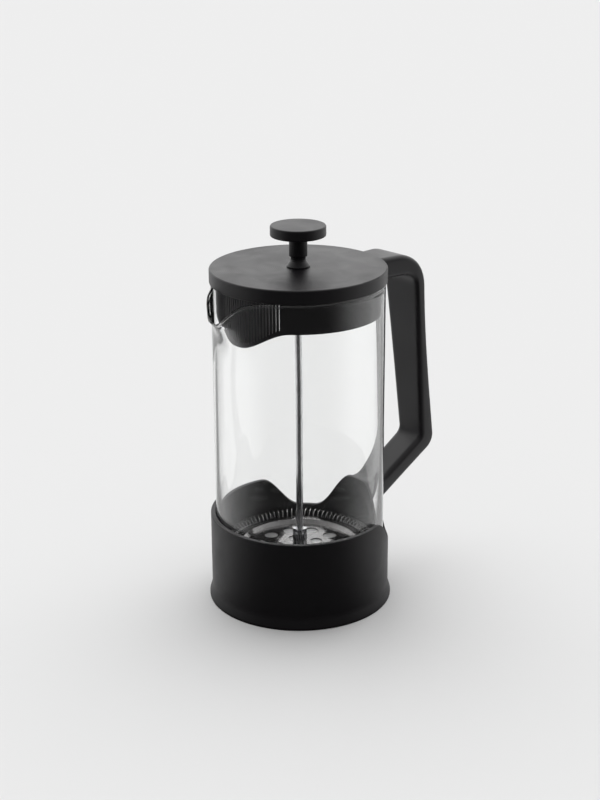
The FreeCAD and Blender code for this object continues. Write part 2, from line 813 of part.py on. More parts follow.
# Mesh screen: fine woven disc clamped under the plate, dished below the coil.
mesh = turned("mesh_screen", (
    ("thread_bore", "mesh_base"),
    ("plate_flat", "mesh_base"),
    ("plate_flat + mesh_dish", "mesh_floor - mesh_thick"),
    ("mesh_outer", "mesh_floor - mesh_thick"),
    ("mesh_outer", "coil_bottom + mesh_edge"),
    ("mesh_outer - mesh_thick", "coil_bottom + mesh_edge"),
    ("mesh_outer - mesh_thick", "mesh_floor"),
    ("plate_flat + mesh_dish + 0.1", "mesh_floor"),
    ("plate_flat + 0.1", "mesh_base + mesh_thick"),
    ("thread_bore", "mesh_base + mesh_thick"),
))

# Cross plate: spoked disc that backs the screen.
cross = turned("cross_plate", (
    ("thread_bore", "cross_base"),
    ("cross_radius", "cross_base"),
    ("cross_radius", "cross_base + cross_thick"),
    ("thread_bore", "cross_base + cross_thick"),
))
window_sketch = new_sketch(cross, "cross_window_sketch", "XY_Plane")
outline(window_sketch, (
    ("cross_hub", "-cross_window_hub / 2"),
    ("cross_radius - cross_rim", "-cross_window / 2"),
    ("cross_radius - cross_rim + 1", "0"),
    ("cross_radius - cross_rim", "cross_window / 2"),
    ("cross_hub", "cross_window_hub / 2"),
))
doc.recompute()
window = carve(cross, "cross_window", window_sketch, length="4 * filter_level")
repeat_round(cross, "cross_window_round", window, 6)

# Nut under the cross plate, sleeve above the spring plate and its lobed crown.
turned("filter_nut", (
    ("thread_bore", "nut_base"),
    ("nut_radius - 0.5", "nut_base"),
    ("nut_radius", "nut_base + 0.5"),
    ("nut_radius", "cross_base"),
    ("thread_bore", "cross_base"),
))
turned("filter_sleeve", (
    ("thread_bore", "plate_top"),
    ("collar_radius", "plate_top"),
    ("collar_radius", "collar_top"),
    ("thread_bore", "collar_top"),
))

crown_core = doc.addObject("Part::Cylinder", "crown_core")
crown_core.setExpression("Radius", bound("crown_core"))
crown_core.setExpression("Height", bound("crown_high"))
crown_core.setExpression("Placement.Base.z", bound("collar_top"))
crown_parts = [crown_core]
for index in range(CROWN_LOBES):
    turn = 45 + index * 360 // CROWN_LOBES
    lobe = doc.addObject("Part::Cylinder", f"crown_lobe_{index + 1}")
    lobe.setExpression("Radius", bound("crown_lobe"))
    lobe.setExpression("Height", bound("crown_high"))
    lobe.setExpression("Placement.Base.x", bound(f"crown_lobe_ring * cos({turn} deg)"))
    lobe.setExpression("Placement.Base.y", bound(f"crown_lobe_ring * sin({turn} deg)"))
    lobe.setExpression("Placement.Base.z", bound("collar_top"))
    crown_parts.append(lobe)
crown_blank = doc.addObject("Part::MultiFuse", "crown_blank")
crown_blank.Shapes = crown_parts
crown_bore = doc.addObject("Part::Cylinder", "crown_bore")
crown_bore.setExpression("Radius", bound("thread_bore"))
crown_bore.setExpression("Height", bound("crown_top"))
doc.recompute()
cut("filter_crown", crown_blank, crown_bore)


# ---------------------------------------------------------------- check and write
NODES = (
    "base_cup", "handle", "glass_beaker",
    "lid_cover", "lid_strainer", "lid_guide",
    "knob", "knob_insert", "plunger_rod",
    "filter_crown", "filter_sleeve", "spring_plate", "coil_spring",
    "mesh_screen", "cross_plate", "filter_nut",
)
doc.recompute()
for item in doc.Objects:
    for word in ("Invalid", "Error"):
        if word in item.State:
            raise RuntimeError(f"{item.Label} is {item.State}")
for name in NODES:
    shape = doc.getObjectsByLabel(name)[0].Shape
    if shape.isNull() or not shape.isValid():
        raise RuntimeError(f"{name} has no valid shape")
    if len(shape.Solids) != 1:
        raise RuntimeError(f"{name} holds {len(shape.Solids)} solids")
    print(f"{name:16s} {shape.Volume:10.1f} mm3")
for name in NODES:
    doc.getObjectsByLabel(name)[0].Shape.exportStep(f"parts/{name}.step")
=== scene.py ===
import math

import bmesh
import bpy
from mathutils import Matrix, Vector


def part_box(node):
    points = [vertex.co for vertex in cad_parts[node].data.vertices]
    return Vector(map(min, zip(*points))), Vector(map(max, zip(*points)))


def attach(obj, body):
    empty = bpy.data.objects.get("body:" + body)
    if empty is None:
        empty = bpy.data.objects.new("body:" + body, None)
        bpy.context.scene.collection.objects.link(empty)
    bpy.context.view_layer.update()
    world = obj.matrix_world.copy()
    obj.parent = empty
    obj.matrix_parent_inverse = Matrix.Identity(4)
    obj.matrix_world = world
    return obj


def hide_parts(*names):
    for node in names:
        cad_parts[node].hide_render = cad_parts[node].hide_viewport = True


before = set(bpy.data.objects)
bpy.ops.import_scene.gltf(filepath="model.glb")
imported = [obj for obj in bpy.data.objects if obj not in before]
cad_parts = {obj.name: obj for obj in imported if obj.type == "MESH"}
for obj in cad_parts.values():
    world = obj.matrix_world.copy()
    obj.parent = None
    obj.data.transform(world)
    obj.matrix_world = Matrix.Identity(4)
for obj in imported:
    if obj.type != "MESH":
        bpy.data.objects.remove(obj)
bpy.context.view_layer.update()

# ---------------------------------------------------------------- base cup
# Injection-moulded cup in black nylon that the glass drops into.  Its face has the fine even
# grain of a spark-eroded mould, and the flared foot takes the scuffs.


def effect_group(name, inputs, outputs):
    """An empty shader group with named sockets, and its two end nodes."""
    group = bpy.data.node_groups.new(name, "ShaderNodeTree")
    for label, kind, value in inputs:
        socket = group.interface.new_socket(name=label, in_out="INPUT", socket_type=kind)
        socket.default_value = value
    for label, kind in outputs:
        group.interface.new_socket(name=label, in_out="OUTPUT", socket_type=kind)
    return group, group.nodes.new("NodeGroupInput"), group.nodes.new("NodeGroupOutput")


def add(tree, kind, **values):
    """A node with its properties and unlinked inputs set by name."""
    node = tree.nodes.new(kind)
    for key, value in values.items():
        label = key.replace("_", " ")
        if label in node.inputs:
            node.inputs[label].default_value = value
        else:
            setattr(node, key, value)
    return node


def join(tree, start, end):
    tree.links.new(start, end)


def moulded_skin():
    """Grain, faint flow marks and handling polish of moulded plastic."""
    group, given, made = effect_group("moulded_skin", (
        ("Colour", "NodeSocketColor", (0.0055, 0.0045, 0.0058, 1.0)),
        ("Worn Colour", "NodeSocketColor", (0.0125, 0.0105, 0.013, 1.0)),
        ("Roughness", "NodeSocketFloat", 0.45),
        ("Grain Scale", "NodeSocketFloat", 2200.0),
        ("Grain Height", "NodeSocketFloat", 0.15),
        ("Ring Scale", "NodeSocketFloat", 260.0),
        ("Ring Height", "NodeSocketFloat", 0.0),
    ), (
        ("Colour", "NodeSocketColor"),
        ("Roughness", "NodeSocketFloat"),
        ("Normal", "NodeSocketVector"),
    ))
    place = add(group, "ShaderNodeTexCoord")
    grain = add(group, "ShaderNodeTexNoise", Detail=3.0, Roughness=0.6)
    join(group, place.outputs["Object"], grain.inputs["Vector"])
    join(group, given.outputs["Grain Scale"], grain.inputs["Scale"])
    smears = add(group, "ShaderNodeTexNoise", Scale=45.0, Detail=5.0, Roughness=0.55, Distortion=0.6)
    join(group, place.outputs["Object"], smears.inputs["Vector"])
    rings = add(group, "ShaderNodeTexWave", wave_type="RINGS", rings_direction="Z",
                Distortion=0.35, Detail=2.0, Detail_Scale=3.0)
    join(group, place.outputs["Object"], rings.inputs["Vector"])
    join(group, given.outputs["Ring Scale"], rings.inputs["Scale"])

    polish = add(group, "ShaderNodeMapRange", From_Min=0.3, From_Max=0.7, To_Min=-0.05, To_Max=0.06)
    join(group, smears.outputs["Fac"], polish.inputs["Value"])
    rough = add(group, "ShaderNodeMath", operation="ADD", use_clamp=True)
    join(group, given.outputs["Roughness"], rough.inputs[0])
    join(group, polish.outputs["Result"], rough.inputs[1])
    join(group, rough.outputs["Value"], made.inputs["Roughness"])

    speckle = add(group, "ShaderNodeMapRange", From_Min=0.52, From_Max=0.8, To_Min=0.0, To_Max=0.55)
    join(group, grain.outputs["Fac"], speckle.inputs["Value"])
    tint = add(group, "ShaderNodeMix", data_type="RGBA")
    join(group, speckle.outputs["Result"], tint.inputs["Factor"])
    join(group, given.outputs["Colour"], tint.inputs[6])
    join(group, given.outputs["Worn Colour"], tint.inputs[7])
    join(group, tint.outputs[2], made.inputs["Colour"])

    pits = add(group, "ShaderNodeBump", Distance=0.00006)
    join(group, given.outputs["Grain Height"], pits.inputs["Strength"])
    join(group, grain.outputs["Fac"], pits.inputs["Height"])
    turned = add(group, "ShaderNodeBump", Distance=0.00008)
    join(group, given.outputs["Ring Height"], turned.inputs["Strength"])
    join(group, rings.outputs["Fac"], turned.inputs["Height"])
    join(group, pits.outputs["Normal"], turned.inputs["Normal"])
    join(group, turned.outputs["Normal"], made.inputs["Normal"])
    return group


def new_material(name, **plain):
    """A material with one Principled shader, whose plain values are given by socket name."""
    material = bpy.data.materials.new(name)
    material.use_nodes = True
    shader = material.node_tree.nodes["Principled BSDF"]
    for key, value in plain.items():
        shader.inputs[key.replace("_", " ")].default_value = value
    return material, shader


def with_effect(material, shader, group, links, **values):
    """Place an effect group in a material and join its outputs to the shader's sockets."""
    tree = material.node_tree
    node = tree.nodes.new("ShaderNodeGroup")
    node.node_tree = group
    for key, value in values.items():
        node.inputs[key.replace("_", " ")].default_value = value
    for output, socket in links:
        join(tree, node.outputs[output], shader.inputs[socket])


SKIN = moulded_skin()
SURFACE_LINKS = (("Colour", "Base Color"), ("Roughness", "Roughness"), ("Normal", "Normal"))


def moulded_plastic(name, **values):
    material, shader = new_material(name, IOR=1.49, Specular_IOR_Level=0.36)
    with_effect(material, shader, SKIN, SURFACE_LINKS, **values)
    return material


def dress(node, material):
    """Give a CAD node its finish."""
    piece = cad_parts[node]
    for slot in piece.material_slots:
        slot.material = material


dress("base_cup", moulded_plastic("cup_nylon", Roughness=0.46, Grain_Height=0.2))

# ---------------------------------------------------------------- handle
# Solid strap moulded in the same nylon.  It leaves the lobe of the cup, turns up into the grip
# and ends in a short arm with a hollow end that stands clear of the lid.  The hand polishes
# it a little, so it is glossier than the cup and its grain is shallower.
handle_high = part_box("handle")[1]
lid_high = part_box("lid_cover")[1]
CUP_RADIUS = 0.0532
ROOT_IN_WALL = 0.002
ROOT_UNDER = 0.0378
ROOT_TOP = 0.0576
ROOT_LONG = 0.010
GRIP_REACH = 0.0566
GRIP_FOOT = 0.0702
GRIP_LEAN = 0.0166
GRIP_THICK = 0.007
GRIP_FOOT_THICK = 0.0123
INNER_FOOT_RISE = 0.0064
ARM_FALL = 0.0014
ARM_THICK = 0.0132
ARM_THICK_AT_GRIP = 0.0126
ARM_END_WIDTH = 0.0225
WIDTH_AT_TABLE = 0.016
WIDTH_AT_TOP = 0.029
OUTER_BOW = math.radians(4.86)
INNER_BOW = math.radians(3.56)
CORNER_LOW = 0.009
CORNER_HIGH = 0.023
ROOT_CORNER = 0.018
INNER_CORNER_LOW = 0.0055
INNER_CORNER_HIGH = 0.0095
STRAP_EDGE = 0.0031
EDGE_STEPS = 6
EDGE_GUARD = 0.001
SADDLE_GAP = 0.0006
SADDLE_RADIUS = lid_high.y + SADDLE_GAP
HOLLOW_DEPTH = 0.002
HOLLOW_SHARE = 0.85


def finished(form, name, body, stands_for, material):
    """Turn a bmesh into a smooth piece of the object."""
    mesh = bpy.data.meshes.new(name)
    form.to_mesh(mesh)
    form.free()
    mesh.polygons.foreach_set("use_smooth", [True] * len(mesh.polygons))
    mesh.materials.append(material)
    piece = bpy.data.objects.new(name, mesh)
    bpy.context.scene.collection.objects.link(piece)
    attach(piece, body)
    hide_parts(stands_for)


def turned(vector, angle):
    """Turn a direction of the strap's side view."""
    return Matrix.Rotation(angle, 2) @ vector


def rounded(before, corner, after, radius, steps):
    """Points of the arc that rounds a corner between two straight runs."""
    back = (before - corner).normalized()
    ahead = (after - corner).normalized()
    half = back.angle(ahead) / 2.0
    centre = corner + (back + ahead).normalized() * (radius / math.sin(half))
    start = corner + back * (radius / math.tan(half)) - centre
    end = corner + ahead * (radius / math.tan(half)) - centre
    sweep = math.atan2(start.x * end.y - start.y * end.x, start.dot(end))
    return [centre + turned(start, sweep * step / steps) for step in range(steps + 1)]


def flowing(first, second, steps):
    """Points between the ends of two arcs, leaving one and entering the other in line."""
    start, end = first[-1], second[0]
    reach = (end - start).length
    leave = (first[-1] - first[-2]).normalized() * reach
    enter = (second[1] - second[0]).normalized() * reach
    points = []
    for step in range(1, steps):
        t = step / steps
        points.append(start * (2 * t ** 3 - 3 * t ** 2 + 1) + leave * (t ** 3 - 2 * t ** 2 + t)
                      + end * (3 * t ** 2 - 2 * t ** 3) + enter * (t ** 3 - t ** 2))
    return points


def run_along(path, count):
    """Evenly spaced points along a chain of points."""
    lengths = [0.0]
    for first, second in zip(path, path[1:]):
        lengths.append(lengths[-1] + (second - first).length)
    points = []
    index = 0
    for step in range(count + 1):
        place = lengths[-1] * step / count
        while index < len(path) - 2 and lengths[index + 1] < place:
            index += 1
        share = (place - lengths[index]) / (lengths[index + 1] - lengths[index])
        points.append(path[index].lerp(path[index + 1], share))
    return points


def limited(number):
    return max(0.0, min(1.0, number))


# The strap's side view: corners first, then the arcs that round them.
root_under = Vector((CUP_RADIUS - ROOT_IN_WALL, ROOT_UNDER))
root_over = Vector((CUP_RADIUS - ROOT_IN_WALL, ROOT_TOP))
root_end = Vector((CUP_RADIUS + ROOT_LONG, ROOT_TOP))
grip_foot = Vector((CUP_RADIUS + GRIP_REACH, GRIP_FOOT))
grip_head = Vector((grip_foot.x - GRIP_LEAN, handle_high.z - ARM_FALL))
inner_foot = Vector((grip_foot.x - GRIP_FOOT_THICK, grip_foot.y + INNER_FOOT_RISE))
inner_head = Vector((grip_head.x - GRIP_THICK, grip_head.y - ARM_THICK_AT_GRIP))
saddle_top = Vector((SADDLE_RADIUS, handle_high.z))
saddle_under = Vector((SADDLE_RADIUS, handle_high.z - ARM_THICK))

up_outside = turned(grip_head - grip_foot, OUTER_BOW)
down_outside = turned(grip_foot - grip_head, -OUTER_BOW)
up_inside = turned(inner_head - inner_foot, INNER_BOW)
down_inside = turned(inner_foot - inner_head, -INNER_BOW)
bend_low = rounded(root_under, grip_foot, grip_foot + up_outside, CORNER_LOW, 12)
bend_high = rounded(grip_head + down_outside, grip_head, saddle_top, CORNER_HIGH, 16)
root_bend = rounded(root_over, root_end, inner_foot, ROOT_CORNER, 8)
turn_low = rounded(root_end, inner_foot, inner_foot + up_inside, INNER_CORNER_LOW, 10)
turn_high = rounded(inner_head + down_inside, inner_head, saddle_under, INNER_CORNER_HIGH, 12)

# Outside and inside are matched in three runs that change over at the middle of each bend:
# root, grip and top arm.
outer_runs = [
    [root_under] + bend_low[:7],
    bend_low[6:] + flowing(bend_low, bend_high, 24) + bend_high[:9],
    bend_high[8:] + [saddle_top],
]
inner_runs = [
    [root_over] + root_bend + turn_low[:6],
    turn_low[5:] + flowing(turn_low, turn_high, 24) + turn_high[:7],
    turn_high[6:] + [saddle_under],
]
stations = []
for outer_run, inner_run, count in zip(outer_runs, inner_runs, (30, 64, 28)):
    matched = list(zip(run_along(outer_run, count), run_along(inner_run, count)))
    stations += matched[1:] if stations else matched


def half_width(place):
    """The strap widens upwards, and its top arm narrows again towards the lid."""
    width = WIDTH_AT_TABLE + (WIDTH_AT_TOP - WIDTH_AT_TABLE) * place.y / handle_high.z
    near_lid = limited((inner_head.x - place.x) / (inner_head.x - SADDLE_RADIUS))
    in_arm = limited((place.y - saddle_under.y) / ARM_THICK + 1.0)
    return (width + (ARM_END_WIDTH - WIDTH_AT_TOP) * near_lid * in_arm) / 2.0


def section(thick, half):
    """The strap's rounded section, as depths below its outer face and distances sideways."""
    flat = half - STRAP_EDGE - EDGE_GUARD
    quarter = [(0.0, flat * share) for share in (0.2, 0.6, 1.0)]
    for step in range(EDGE_STEPS + 1):
        turn = math.pi / 2 * step / EDGE_STEPS
        depth = STRAP_EDGE * (1.0 - math.cos(turn))
        quarter.append((depth, half - STRAP_EDGE * (1.0 - math.sin(turn))))
    right = quarter + [(thick - depth, y) for depth, y in reversed(quarter)]
    return right + [(depth, -y) for depth, y in reversed(right)]


def closed_loop(form, places):
    """A closed line of edges through the places given."""
    verts = [form.verts.new(place) for place in places]
    return verts, [form.edges.new(pair) for pair in zip(verts, verts[1:] + verts[:1])]


strap = bmesh.new()
loops = []
for outer, inner in stations:
    thick = (outer - inner).length
    half = half_width(outer.lerp(inner, 0.5))
    places = []
    for depth, y in section(thick, half):
        place = outer.lerp(inner, depth / thick)
        places.append((place.x, y * half_width(place) / half, place.y))
    loops.append(closed_loop(strap, places))
for vert in loops[-1][0]:
    vert.co.x = math.sqrt(SADDLE_RADIUS ** 2 - vert.co.y ** 2)
arm_middle = Vector((SADDLE_RADIUS + HOLLOW_DEPTH, 0.0, (saddle_top.y + saddle_under.y) / 2.0))
hollow = [(arm_middle.x, vert.co.y * HOLLOW_SHARE, arm_middle.z + (vert.co.z - arm_middle.z) * HOLLOW_SHARE)
          for vert in loops[-1][0]]
loops.append(closed_loop(strap, hollow))
for (_, edges), (_, next_edges) in zip(loops, loops[1:]):
    bmesh.ops.bridge_loops(strap, edges=edges + next_edges)
for _, edges in (loops[0], loops[-1]):
    bmesh.ops.contextual_create(strap, geom=edges)
bmesh.ops.recalc_face_normals(strap, faces=strap.faces)
handle_nylon = moulded_plastic("handle_nylon", Roughness=0.36, Grain_Height=0.16)
finished(strap, "handle_strap", "frame", "handle", handle_nylon)

# ---------------------------------------------------------------- glass beaker
# Blown borosilicate glass with a domed bottom, a fire-polished rim and a beak pulled out of
# the hot wall.  It stands loose in the cup.
glass_low, glass_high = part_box("glass_beaker")
GLASS_RADIUS = glass_high.x
GLASS_WALL = 0.002
GLASS_STEPS = 256
GLASS_HEEL = 0.006
GLASS_PUSH_UP = 0.0012
PUSH_UP_CURVE = ((0.0, 1.0), (0.012, 0.93), (0.026, 0.6), (0.037, 0.15))
HEEL_THICKENING = 0.0006
FLOOR_INSIDE = ((0.034, 0.0028), (0.02, 0.0033), (0.0, 0.0036))
PLAIN_WALL = (0.05, 0.09)
LIP_BEAD = 0.0012
LIP_ROOT = 0.0028
LIP_SPREAD = 8
BEAK_ROWS = 22
BEAK_REACH = -glass_low.x - GLASS_RADIUS - 0.0002
BEAK_DROP = 0.01235
BEAK_RISE = 0.034
BEAK_SPREAD = 5.23
BEAK_CLIMB = 2.4
BEAK_THINNING = 0.0008
BEAK_HALF_ANGLE = math.radians(70.0)
LIP_HALF_ANGLE = math.radians(40.9)


def arc(centre_r, centre_z, radius, start, end, steps):
    """Points of an arc in the (radius, height) plane, by angles in degrees."""
    turns = [math.radians(start + (end - start) * step / steps) for step in range(steps + 1)]
    return [(centre_r + radius * math.cos(turn), centre_z + radius * math.sin(turn)) for turn in turns]


def spun(points, steps):
    """A bmesh turned about Z from an open profile whose ends lie on the axis."""
    form = bmesh.new()
    chain = [form.verts.new((r, 0.0, z)) for r, z in points]
    edges = [form.edges.new(pair) for pair in zip(chain, chain[1:])]
    bmesh.ops.spin(form, geom=chain + edges, cent=(0, 0, 0), axis=(0, 0, 1), dvec=(0, 0, 0),
                   angle=math.tau, steps=steps, use_merge=True, use_duplicate=False)
    bmesh.ops.remove_doubles(form, verts=form.verts, dist=1e-6)
    bmesh.ops.recalc_face_normals(form, faces=form.faces)
    return form


def hump(away, half_angle, power):
    """1 in the middle of the beak, falling smoothly to 0 at half_angle."""
    if away >= half_angle:
        return 0.0
    return (0.5 + 0.5 * math.cos(math.pi * away / half_angle)) ** power


beak_root = glass_high.z - BEAK_DROP - BEAK_RISE
bottom = glass_low.z
bore = GLASS_RADIUS - GLASS_WALL
heel_centre = GLASS_RADIUS - GLASS_HEEL
lip_root = glass_high.z - LIP_ROOT
levels = list(PLAIN_WALL)
levels += [beak_root + (lip_root - beak_root) * step / BEAK_ROWS for step in range(BEAK_ROWS + 1)]
profile = [(radius, bottom + GLASS_PUSH_UP * share) for radius, share in PUSH_UP_CURVE]
profile += arc(heel_centre, bottom + GLASS_HEEL, GLASS_HEEL, -90, 0, 8)
profile += [(GLASS_RADIUS, level) for level in levels]
profile += arc(GLASS_RADIUS - GLASS_WALL / 2, glass_high.z - LIP_BEAD, LIP_BEAD, -50, 230, 14)
profile += [(bore, level) for level in reversed(levels)]
profile += arc(heel_centre, bottom + GLASS_HEEL + HEEL_THICKENING, GLASS_HEEL - GLASS_WALL, 0, -90, 7)
profile += [(radius, bottom + height) for radius, height in FLOOR_INSIDE]
beaker = spun(profile, GLASS_STEPS)
for vert in beaker.verts:
    radius = math.hypot(vert.co.x, vert.co.y)
    if vert.co.z <= beak_root:
        continue
    away = math.acos(max(-1.0, min(1.0, -vert.co.x / radius)))
    share = (vert.co.z - beak_root) / (glass_high.z - beak_root)
    vert.co.z -= BEAK_DROP * hump(away, LIP_HALF_ANGLE, LIP_SPREAD) * share
    climb = min((vert.co.z - beak_root) / BEAK_RISE, 1.0)
    pulled = BEAK_REACH * hump(away, BEAK_HALF_ANGLE, BEAK_SPREAD) * climb ** BEAK_CLIMB
    if radius < GLASS_RADIUS - GLASS_WALL / 2:
        pulled += BEAK_THINNING * hump(away, BEAK_HALF_ANGLE, 1) * climb
    vert.co.x *= 1.0 + pulled / radius
    vert.co.y *= 1.0 + pulled / radius


def blown_glass():
    """Clear glass, a trace green in thick spots, that lets lamp light straight through."""
    material, shader = new_material("clear_borosilicate", IOR=1.47, Transmission_Weight=1.0)
    tree = material.node_tree
    place = add(tree, "ShaderNodeTexCoord")
    ripple = add(tree, "ShaderNodeTexNoise", Scale=16.0, Detail=1.0, Roughness=0.4)
    join(tree, place.outputs["Object"], ripple.inputs["Vector"])
    wavy = add(tree, "ShaderNodeBump", Strength=0.05, Distance=0.0004)
    join(tree, ripple.outputs["Fac"], wavy.inputs["Height"])
    join(tree, wavy.outputs["Normal"], shader.inputs["Normal"])
    tint = add(tree, "ShaderNodeValToRGB")
    tint.color_ramp.elements[0].color = (0.985, 0.99, 0.987, 1.0)
    tint.color_ramp.elements[1].color = (0.995, 0.997, 0.996, 1.0)
    join(tree, ripple.outputs["Fac"], tint.inputs["Fac"])
    join(tree, tint.outputs["Color"], shader.inputs["Base Color"])
    shader.inputs["Roughness"].default_value = 0.0
    path = add(tree, "ShaderNodeLightPath")
    through = add(tree, "ShaderNodeBsdfTransparent", Color=(0.97, 0.975, 0.972, 1.0))
    swap = add(tree, "ShaderNodeMixShader")
    join(tree, path.outputs["Is Shadow Ray"], swap.inputs["Fac"])
    join(tree, shader.outputs["BSDF"], swap.inputs[1])
    join(tree, through.outputs["BSDF"], swap.inputs[2])
    join(tree, swap.outputs["Shader"], tree.nodes["Material Output"].inputs["Surface"])
    return material


finished(beaker, "beaker_glass", "beaker", "glass_beaker", blown_glass())

# ---------------------------------------------------------------- lid cap
# Round cap moulded in black nylon.  Its top shows the fine rings that the turned mould left.
# It rests on the glass and turns there.
dress("lid_cover", moulded_plastic("lid_nylon", Roughness=0.4, Grain_Height=0.1, Ring_Height=0.5))

# ---------------------------------------------------------------- strainer
# Slotted ring moulded a shade glossier than the cap and snapped into it.  Its deep tongue
# stands behind the beak and holds back the grounds.
dress("lid_strainer", moulded_plastic("strainer_nylon", Roughness=0.34, Grain_Height=0.06))

# ---------------------------------------------------------------- guide bush
# Small acetal bush pressed into the middle of the cap.  The rod slides in it, which keeps it
# smooth.
dress("lid_guide", moulded_plastic("guide_acetal", Roughness=0.33, Grain_Height=0.04))

# ---------------------------------------------------------------- plunger rod
# Stainless rod of four millimetres, ground and drawn, so its faint marks run along it.  It is
# threaded at both ends.


def metal_surface():
    """Drawn, pressed or ground metal: fine marks that run along one direction."""
    group, given, made = effect_group("metal_surface", (
        ("Colour", "NodeSocketColor", (0.55, 0.55, 0.56, 1.0)),
        ("Dull Colour", "NodeSocketColor", (0.4, 0.4, 0.41, 1.0)),
        ("Roughness", "NodeSocketFloat", 0.2),
        ("Mark Size", "NodeSocketVector", (3000.0, 3000.0, 60.0)),
        ("Mark Depth", "NodeSocketFloat", 0.1),
    ), (
        ("Colour", "NodeSocketColor"),
        ("Roughness", "NodeSocketFloat"),
        ("Normal", "NodeSocketVector"),
    ))
    place = add(group, "ShaderNodeTexCoord")
    stretched = add(group, "ShaderNodeVectorMath", operation="MULTIPLY")
    join(group, place.outputs["Object"], stretched.inputs[0])
    join(group, given.outputs["Mark Size"], stretched.inputs[1])
    marks = add(group, "ShaderNodeTexNoise", Scale=1.0, Detail=3.0, Roughness=0.6)
    join(group, stretched.outputs["Vector"], marks.inputs["Vector"])
    clouds = add(group, "ShaderNodeTexNoise", Scale=140.0, Detail=4.0, Roughness=0.5)
    join(group, place.outputs["Object"], clouds.inputs["Vector"])
    dull = add(group, "ShaderNodeMapRange", From_Min=0.4, From_Max=0.72, To_Min=0.0, To_Max=1.0)
    join(group, clouds.outputs["Fac"], dull.inputs["Value"])
    tint = add(group, "ShaderNodeMix", data_type="RGBA")
    join(group, dull.outputs["Result"], tint.inputs["Factor"])
    join(group, given.outputs["Colour"], tint.inputs[6])
    join(group, given.outputs["Dull Colour"], tint.inputs[7])
    join(group, tint.outputs[2], made.inputs["Colour"])
    haze = add(group, "ShaderNodeMapRange", From_Min=0.35, From_Max=0.65, To_Min=-0.04, To_Max=0.08)
    join(group, marks.outputs["Fac"], haze.inputs["Value"])
    rough = add(group, "ShaderNodeMath", operation="ADD", use_clamp=True)
    join(group, given.outputs["Roughness"], rough.inputs[0])
    join(group, haze.outputs["Result"], rough.inputs[1])
    join(group, rough.outputs["Value"], made.inputs["Roughness"])
    scored = add(group, "ShaderNodeBump", Distance=0.00002)
    join(group, given.outputs["Mark Depth"], scored.inputs["Strength"])
    join(group, marks.outputs["Fac"], scored.inputs["Height"])
    join(group, scored.outputs["Normal"], made.inputs["Normal"])
    return group


METAL = metal_surface()


def metal(name, **values):
    material, shader = new_material(name, Metallic=1.0)
    with_effect(material, shader, METAL, SURFACE_LINKS, **values)
    return material


dress("plunger_rod", metal("ground_rod", Colour=(0.72, 0.72, 0.73, 1.0),
                           Dull_Colour=(0.62, 0.62, 0.63, 1.0), Roughness=0.24))

# ---------------------------------------------------------------- knob insert
# Knurled brass insert that the knob is moulded round.  The rod screws into it.
dress("knob_insert", metal("knurled_brass", Colour=(0.58, 0.4, 0.17, 1.0),
                           Dull_Colour=(0.42, 0.28, 0.12, 1.0), Roughness=0.3))

# ---------------------------------------------------------------- knob
# Flat round knob on a neck, moulded in black nylon, with faint turned rings on its top.
dress("knob", moulded_plastic("knob_nylon", Roughness=0.42, Grain_Height=0.12, Ring_Height=0.25))

# ---------------------------------------------------------------- crown, sleeve and nut
# Turned stainless fittings.  The sleeve and its lobed crown screw down on the plate, and the
# nut closes the stack from below.
for fitting in ("filter_crown", "filter_sleeve", "filter_nut"):
    dress(fitting, metal(fitting + "_steel", Roughness=0.16))

# ---------------------------------------------------------------- spring plate and cross plate
# Discs pressed from stainless sheet, polished before pressing, clamped above and below the
# screen.
pressed = metal("pressed_steel", Colour=(0.24, 0.235, 0.235, 1.0), Dull_Colour=(0.18, 0.175, 0.175, 1.0),
                Roughness=0.1, Mark_Size=(500.0, 500.0, 500.0), Mark_Depth=0.15)
dress("spring_plate", pressed)
dress("cross_plate", pressed)

# ---------------------------------------------------------------- coil
# Endless coil of fine stainless wire, threaded through the eyelets of the plate.  It presses
# the screen's edge against the glass.
coil_low, coil_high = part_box("coil_spring")
COIL_TURNS = 90
TURN_STEPS = 20
WIRE_SIDES = 6
WIRE_RADIUS = 0.00026
WELD = 0.00002
coil_radius = (coil_high.z - coil_low.z) / 2.0 - WIRE_RADIUS
coil_centre = coil_high.x - WIRE_RADIUS - coil_radius
coil_level = (coil_high.z + coil_low.z) / 2.0
coil_length = math.tau * coil_centre
all_steps = COIL_TURNS * TURN_STEPS

# The wire is wound straight along Y, then bent round into a ring and welded to itself.
coil = bmesh.new()
bmesh.ops.create_circle(coil, cap_ends=False, segments=WIRE_SIDES, radius=WIRE_RADIUS,
                        matrix=Matrix.Translation((coil_radius, 0.0, 0.0)))
bmesh.ops.spin(coil, geom=coil.verts[:] + coil.edges[:], cent=(0, 0, 0), axis=(0, -1, 0),
               dvec=(0, coil_length / all_steps, 0), angle=math.tau * COIL_TURNS, steps=all_steps,
               use_merge=False, use_duplicate=False)
for vert in coil.verts:
    turn = vert.co.y / coil_centre
    reach = coil_centre + vert.co.x
    vert.co = (reach * math.cos(turn), reach * math.sin(turn), coil_level + vert.co.z)
bmesh.ops.remove_doubles(coil, verts=coil.verts, dist=WELD)
bmesh.ops.recalc_face_normals(coil, faces=coil.faces)
coil_wire = metal("coil_wire", Colour=(0.5, 0.49, 0.48, 1.0), Roughness=0.16)
finished(coil, "coil_of_wire", "plunger", "coil_spring", coil_wire)

# ---------------------------------------------------------------- screen
# Fine plain weave of stainless wire, cut round and turned up at its edge.


